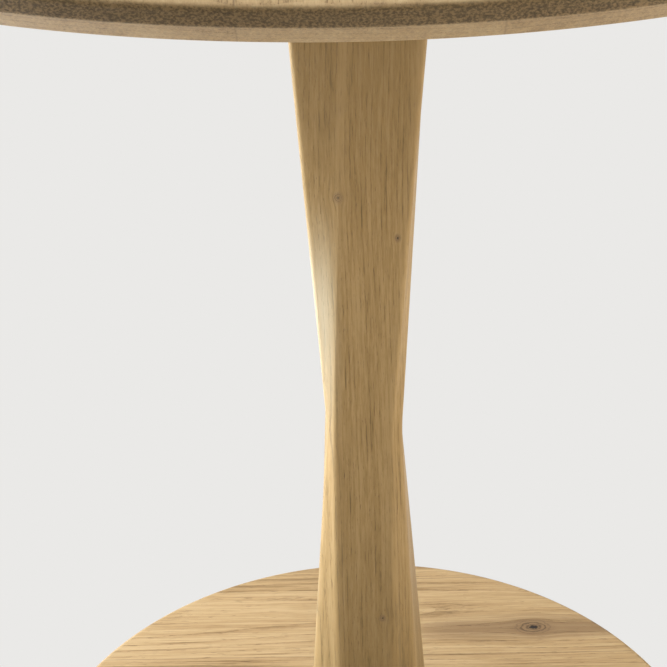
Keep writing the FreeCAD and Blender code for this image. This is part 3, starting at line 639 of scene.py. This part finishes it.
def finish_node(name, material, bevel=0.0):
    """Give a CAD node its finish, and soften its straight edges if asked."""
    node = nodes[name]
    node.data.materials.clear()
    node.data.materials.append(material)
    if bevel:
        soft = node.modifiers.new("eased_edges", "BEVEL")
        soft.width = bevel
        soft.segments = 2
        soft.limit_method = "ANGLE"
        soft.angle_limit = math.radians(50)
        soft.harden_normals = True


# ---------------------------------------------------------------- build

ONE_BOARD = Boards(width=1.0, shift=0.5)

oak_column = oak(
    "oak_column", grain="Z", boards=ONE_BOARD, pith=0.110, tilt=0.012, ring=0.0026,
    knots=(Knot(along=0.483, across=-0.0114, radius=0.0022, stretch=1.2),
           Knot(along=0.4555, across=0.0206, radius=0.0014, stretch=1.5),
           Knot(along=0.1885, across=0.0094, radius=0.0016, stretch=1.3)),
    # Painted shade: browner towards the foot, near the base, and towards the head, under the top.
    end_shade=EndShade(foot=(0.30, 0.10), head=(0.42, 0.64)),
    # Painted highlight: pale on the left flank at mid height, where the key light's sheen falls.
    sheen_patch=SheenPatch(foot=(0.295, 0.420), head=(0.490, 0.405), across=(-0.010, -0.022),
                    depth=(0.010, -0.006)),
    pale=(0.445, 0.290, 0.112), tan=(0.354, 0.218, 0.070), brown=(0.170, 0.105, 0.029),
    contrast=1.15)
oak_base = oak(
    "oak_base", grain="X", boards=Boards(width=0.085, shift=0.050), pith=0.022, tilt=0.012,
    ring=0.0026, knots=(Knot(along=0.1187, across=0.1476, radius=0.0060, stretch=1.7),),
    streak=Streak(across=0.1470, width=0.016, start=0.010, full=0.070),
    contrast=1.35, end_grain=True)
oak_top = oak(
    "oak_top", grain="Y", boards=Boards(width=0.090, shift=0.040), pith=0.022, tilt=0.009,
    ring=0.0030, end_grain=True)
oak_underframe = oak(
    "oak_underframe", grain="X", boards=ONE_BOARD, pith=0.060, tilt=0.020, ring=0.0028)
zinc = metal(
    "zinc_steel", colour=(0.62, 0.63, 0.65), tint=(0.46, 0.47, 0.50), roughness=0.36,
    brushed=(400.0, 400.0, 60.0))
black = metal(
    "black_steel", colour=(0.030, 0.030, 0.032), tint=(0.055, 0.054, 0.052), roughness=0.45,
    brushed=(300.0, 300.0, 300.0), metallic=0.6)
brass = metal(
    "brass", colour=(0.78, 0.57, 0.25), tint=(0.62, 0.42, 0.16), roughness=0.28,
    brushed=(60.0, 700.0, 700.0))
bronze = metal(
    "bronze", colour=(0.52, 0.33, 0.16), tint=(0.38, 0.23, 0.11), roughness=0.40,
    brushed=(500.0, 90.0, 500.0))
glide = plastic("glide_plastic", colour=(0.045, 0.040, 0.036), roughness=0.5)

make_column(oak_column)
make_top(oak_top)
make_base(oak_base)
for name in ("front_bearer", "rear_bearer", "head_block"):
    finish_node(name, oak_underframe, UNDERFRAME_BEVEL)
for name in ("weight_plate", "head_plate"):
    finish_node(name, black, METAL_BEVEL)
for name in ("weight_plate_screws", "column_screws", "glide_nails", "head_plate_screws",
             "block_screws", "front_bearer_screws", "rear_bearer_screws", "pivot_rod"):
    finish_node(name, zinc)
for name in ("spacer_washers", "pivot_washers", "dome_nuts", "bolt_case_screws", "bolt_knob",
             "keeper_screws"):
    finish_node(name, brass)
for name in ("bolt_case", "sliding_bolt", "keeper_plate"):
    finish_node(name, brass, METAL_BEVEL)
finish_node("pivot_bushes", bronze)
finish_node("floor_glides", glide)


# ---------------------------------------------------------------- studio

PAPER = (0.823, 0.815, 0.799)
FLOOR_RADIUS = 30.0
FLOOR_HOLE_RADIUS = 0.200
FLOOR_SIDES = 64
LIGHT_DIRECTION = (-0.35, 0.80, 0.48)
DIMMEST = 0.10
BRIGHTEST = 0.60


def floor_material():
    """Pale paper that the camera sees evenly lit, and sees through from below."""
    shader = Shader("paper_floor")
    mottle = shader.noise(shader.vector(*shader.position()), (3.0, 3.0, 3.0), 3.0)
    darker = tuple(0.99 * part for part in PAPER)
    shader.wire("Base Color", shader.blend(mottle, PAPER, darker))
    shader.wire("Roughness", 0.9)
    glow = shader.add("ShaderNodeEmission", {"Color": (*PAPER, 1.0), "Strength": 1.0}).outputs[0]
    seen = shader.add("ShaderNodeLightPath").outputs["Is Camera Ray"]
    even = shader.add("ShaderNodeMixShader", {0: seen, 1: shader.surface.outputs[0], 2: glow})
    clear = shader.add("ShaderNodeBsdfTransparent").outputs[0]
    behind = shader.add("ShaderNodeNewGeometry").outputs["Backfacing"]
    both = shader.add("ShaderNodeMixShader", {0: behind, 1: even.outputs[0], 2: clear})
    shader.tree.links.new(both.outputs[0], shader.tree.nodes["Material Output"].inputs["Surface"])
    return shader.material


def add_floor():
    """A wide floor. It is open under the base, where nothing above can see it, so that light
    reaches the base's underside."""
    points = []
    faces = []
    for side in range(FLOOR_SIDES):
        angle = 2 * math.pi * side / FLOOR_SIDES
        for radius in (FLOOR_HOLE_RADIUS, FLOOR_RADIUS):
            points.append((radius * math.cos(angle), radius * math.sin(angle), 0.0))
        inner = 2 * side
        following = 2 * ((side + 1) % FLOOR_SIDES)
        faces.append((inner, inner + 1, following + 1, following))
    mesh = bpy.data.meshes.new("floor")
    mesh.from_pydata(points, [], faces)
    mesh.materials.append(floor_material())
    floor = bpy.data.objects.new("floor", mesh)
    bpy.context.scene.collection.objects.link(floor)


def add_world():
    """A white studio, brighter towards the back and above, dimmer towards the front, with an
    even pale backdrop where the camera sees it."""
    world = bpy.data.worlds.new("studio")
    world.use_nodes = True
    tree = world.node_tree
    tree.nodes.clear()
    direction = tree.nodes.new("ShaderNodeTexCoord")
    dot = tree.nodes.new("ShaderNodeVectorMath")
    dot.operation = "DOT_PRODUCT"
    dot.inputs[1].default_value = LIGHT_DIRECTION
    tree.links.new(direction.outputs["Generated"], dot.inputs[0])
    level = tree.nodes.new("ShaderNodeMapRange")
    level.inputs["From Min"].default_value = -0.6
    level.inputs["From Max"].default_value = 0.9
    level.inputs["To Min"].default_value = DIMMEST
    level.inputs["To Max"].default_value = BRIGHTEST
    tree.links.new(dot.outputs["Value"], level.inputs["Value"])
    background = tree.nodes.new("ShaderNodeBackground")
    background.inputs["Color"].default_value = (1.0, 0.99, 0.97, 1.0)
    tree.links.new(level.outputs[0], background.inputs["Strength"])
    backdrop = tree.nodes.new("ShaderNodeBackground")
    backdrop.inputs["Color"].default_value = (*PAPER, 1.0)
    backdrop.inputs["Strength"].default_value = 1.0
    seen = tree.nodes.new("ShaderNodeLightPath").outputs["Is Camera Ray"]
    mixed = tree.nodes.new("ShaderNodeMixShader")
    tree.links.new(seen, mixed.inputs[0])
    tree.links.new(background.outputs[0], mixed.inputs[1])
    tree.links.new(backdrop.outputs[0], mixed.inputs[2])
    output = tree.nodes.new("ShaderNodeOutputWorld")
    tree.links.new(mixed.outputs[0], output.inputs[0])
    bpy.context.scene.world = world


def add_lamp(name, place, target, width, power, colour):
    """A square soft box aimed at a point."""
    lamp = bpy.data.lights.new(name, "AREA")
    lamp.shape = "SQUARE"
    lamp.size = width
    lamp.energy = power
    lamp.color = colour
    holder = bpy.data.objects.new(name, lamp)
    bpy.context.scene.collection.objects.link(holder)
    aim = Vector(target) - Vector(place)
    turn = aim.to_track_quat("-Z", "Y").to_matrix().to_4x4()
    holder.matrix_world = Matrix.Translation(place) @ turn


CAMERA_PLACE = (0.0, -1.0618, 1.0563)
CAMERA_YAW = -0.882
CAMERA_PITCH = 32.64
CAMERA_ROLL = -1.596
CAMERA_LENS = 118.1
CAMERA_SENSOR = 36.0
CAMERA_NEAREST = 0.05


def add_camera():
    """The camera looks a little down on the table's column from the front."""
    yaw, pitch, roll = (math.radians(angle) for angle in (CAMERA_YAW, CAMERA_PITCH, CAMERA_ROLL))
    forward = Vector((math.sin(yaw) * math.cos(pitch), math.cos(yaw) * math.cos(pitch),
                      -math.sin(pitch)))
    level = Vector((math.cos(yaw), -math.sin(yaw), 0.0))
    above = level.cross(forward)
    right = math.cos(roll) * level + math.sin(roll) * above
    up = math.cos(roll) * above - math.sin(roll) * level
    data = bpy.data.cameras.new("camera")
    data.lens = CAMERA_LENS
    data.sensor_width = CAMERA_SENSOR
    data.clip_start = CAMERA_NEAREST
    camera = bpy.data.objects.new("camera", data)
    bpy.context.scene.collection.objects.link(camera)
    axes = Matrix((right, up, -forward)).transposed().to_4x4()
    camera.matrix_world = Matrix.Translation(CAMERA_PLACE) @ axes
    bpy.context.scene.camera = camera


add_floor()
add_world()
add_lamp("key_left", place=(-1.75, 0.07, 0.66), target=(0.0, 0.0, 0.35), width=0.42, power=63.0,
         colour=(0.92, 1.0, 1.16))
add_lamp("fill_right", place=(2.2, -0.25, 0.42), target=(0.0, 0.0, 0.32), width=0.9, power=22.0,
         colour=(1.0, 0.97, 0.93))
add_lamp("fill_front_right", place=(1.7, -1.2, 0.8), target=(0.0, 0.0, 0.3), width=0.8, power=10.0,
         colour=(1.0, 0.97, 0.93))
add_lamp("overhead", place=(0.0, 0.4, 3.0), target=(0.0, 0.0, 0.5), width=2.5, power=50.0,
         colour=(1.0, 0.99, 0.97))
add_camera()
bpy.context.scene.view_settings.view_transform = "Standard"
